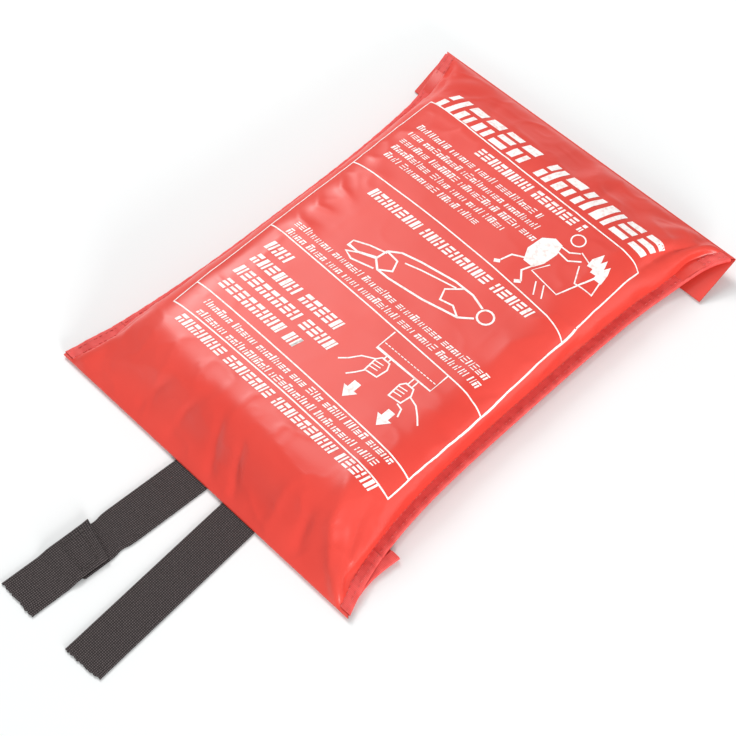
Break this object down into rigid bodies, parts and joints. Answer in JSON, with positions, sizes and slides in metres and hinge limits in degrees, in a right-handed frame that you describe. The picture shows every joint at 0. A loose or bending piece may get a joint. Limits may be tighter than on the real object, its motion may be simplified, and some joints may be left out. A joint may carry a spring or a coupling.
{
  "type": "fire blanket in soft pouch",
  "caption": "Folded fire blanket in a soft red wall pouch with a fold-under closure flap, a hanging header flap and black webbing pull tapes.",
  "frame": {"origin": "middle of the flat outer face of the pouch's back panel, half way between the bottom fold and the header fold", "axes": "+Y towards the header the pouch hangs by, +Z out through the printed front, +X to the right seen from the front with the header up"},
  "size_m": [0.2284, 0.4249, 0.0313],
  "materials": {
    "coated_fabric": "PVC coated polyester, satin",
    "binding": "folded fabric binding, matt",
    "red_thread": "polyester sewing thread",
    "black_thread": "polyester sewing thread",
    "hook_and_loop": "nylon hook and loop tape",
    "eyelet_metal": "nickel plated brass",
    "webbing": "ribbed polypropylene webbing",
    "glass_cloth": "woven glass fibre cloth, white"
  },
  "bodies": {
    "pouch": {"front_panel": "coated_fabric", "back_panel": "coated_fabric", "left_side_binding": "binding", "right_side_binding": "binding", "left_seam_thread": "red_thread", "right_seam_thread": "red_thread", "left_loop_patch": "hook_and_loop", "right_loop_patch": "hook_and_loop"},
    "closure": {"closure_flap": "coated_fabric", "left_flap_hem": "binding", "right_flap_hem": "binding", "left_hook_patch": "hook_and_loop", "right_hook_patch": "hook_and_loop"},
    "header": {"header_flap": "coated_fabric", "left_eyelet": "eyelet_metal", "right_eyelet": "eyelet_metal", "left_eyelet_washer": "eyelet_metal", "right_eyelet_washer": "eyelet_metal"},
    "blanket": {"folded_blanket": "glass_cloth", "left_pull_tape": "webbing", "right_pull_tape": "webbing", "left_tape_end": "webbing", "left_tape_lap_thread": "black_thread", "left_tape_box_thread": "black_thread", "right_tape_box_thread": "black_thread"}
  },
  "joints": [
    {"name": "blanket_slide", "type": "slide", "parent": "pouch", "child": "blanket", "axis": [0, -1, 0], "range_m": [0, 0.28], "deforming": ["closure_flap", "left_flap_hem", "right_flap_hem", "left_hook_patch", "right_hook_patch"]},
    {"name": "closure_crease", "type": "hinge", "parent": "pouch", "child": "closure", "pos_m": [0, -0.12, 0.0313], "axis": [-1, 0, 0], "range_deg": [0, 150]},
    {"name": "header_fold", "type": "hinge", "parent": "pouch", "child": "header", "pos_m": [0, 0.1554, 0.0138], "axis": [1, 0, 0], "range_deg": [0, 157]}
  ],
  "couplings": [
    {"joint": "closure_crease", "follows": "blanket_slide", "rad_per_m": 9.34}
  ]
}
